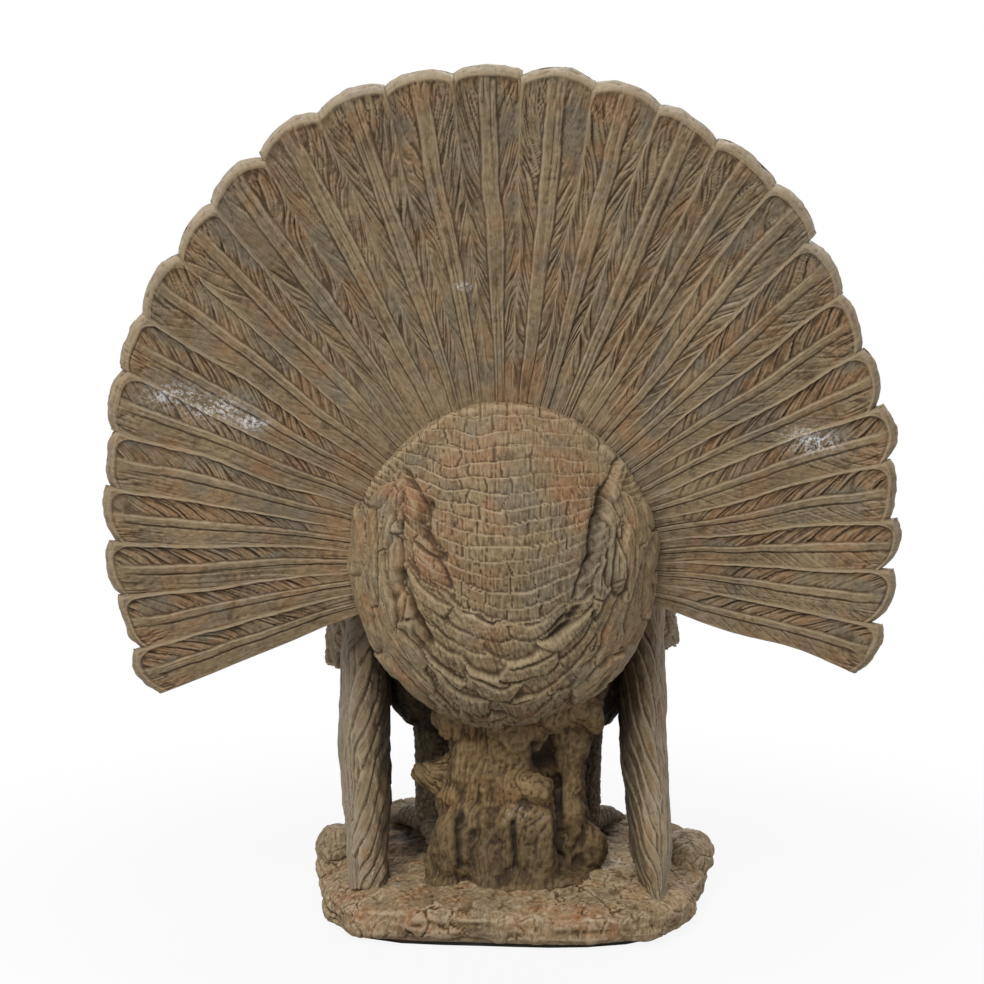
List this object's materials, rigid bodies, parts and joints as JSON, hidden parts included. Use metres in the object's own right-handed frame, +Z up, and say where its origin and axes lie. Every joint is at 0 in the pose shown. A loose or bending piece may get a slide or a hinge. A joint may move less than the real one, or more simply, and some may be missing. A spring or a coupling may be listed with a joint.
{
  "type": "turkey figure",
  "caption": "Free-standing cast turkey figure with a spread tail fan and drooped wings, standing by a tree stump on a rocky oval base; a seasonal decoration.",
  "frame": {"origin": "on the underside of the felt pad, straight below the point that the tail feathers spread from", "axes": "+Z up, +Y the way the bird faces, so -X is its left side and the pictured back faces -Y"},
  "size_m": [0.4174, 0.2758, 0.4592],
  "materials": {
    "felt": "dark felt",
    "earth": "cast resin, painted earth with a worn top",
    "rock": "cast resin, painted stone",
    "plumage": "cast resin, carved feathers with a dark wash",
    "tail_plumage": "cast resin, carved feathers with a dark wash",
    "rump_plumage": "cast resin, carved feathers with a dark wash",
    "bare_skin": "cast resin, carved skin with a dark wash",
    "horn": "cast resin, scaled with a dark wash",
    "bark": "cast resin, carved bark with a dark wash",
    "pin_steel": "plain drawn rod"
  },
  "bodies": {
    "root": {"felt_pad": "felt", "base_slab": "earth", "rock_left": "rock", "rock_right": "rock", "rock_front": "rock", "body_shell": "plumage", "tail_hub": "plumage", "neck": "plumage", "beard": "plumage", "left_wing_primaries": "plumage", "left_wing_coverts": "plumage", "left_thigh": "plumage", "right_wing_primaries": "plumage", "right_wing_coverts": "plumage", "right_thigh": "plumage", "tail_feather_01": "tail_plumage", "tail_feather_02": "tail_plumage", "tail_feather_03": "tail_plumage", "tail_feather_04": "tail_plumage", "tail_feather_05": "tail_plumage", "tail_feather_06": "tail_plumage", "tail_feather_07": "tail_plumage", "tail_feather_08": "tail_plumage", "tail_feather_09": "tail_plumage", "tail_feather_10": "tail_plumage", "tail_feather_11": "tail_plumage", "tail_feather_12": "tail_plumage", "tail_feather_13": "tail_plumage", "tail_feather_14": "tail_plumage", "tail_feather_15": "tail_plumage", "tail_feather_16": "tail_plumage", "tail_feather_17": "tail_plumage", "tail_feather_18": "tail_plumage", "tail_feather_19": "tail_plumage", "tail_feather_20": "tail_plumage", "tail_feather_21": "tail_plumage", "tail_feather_22": "tail_plumage", "tail_feather_23": "tail_plumage", "tail_feather_24": "tail_plumage", "tail_feather_25": "tail_plumage", "tail_feather_26": "tail_plumage", "tail_feather_27": "tail_plumage", "rump_dome": "rump_plumage", "head": "bare_skin", "snood": "bare_skin", "wattle": "bare_skin", "beak": "horn", "left_leg": "horn", "right_leg": "horn", "stump_trunk": "bark", "stump_side_trunk": "bark", "stump_root_left": "bark", "stump_root_centre": "bark", "stump_root_right": "bark", "stump_broken_branch": "bark", "tail_pin": "pin_steel", "left_wing_peg": "pin_steel", "right_wing_peg": "pin_steel", "left_leg_rod": "pin_steel", "right_leg_rod": "pin_steel"}
  },
  "joints": []
}
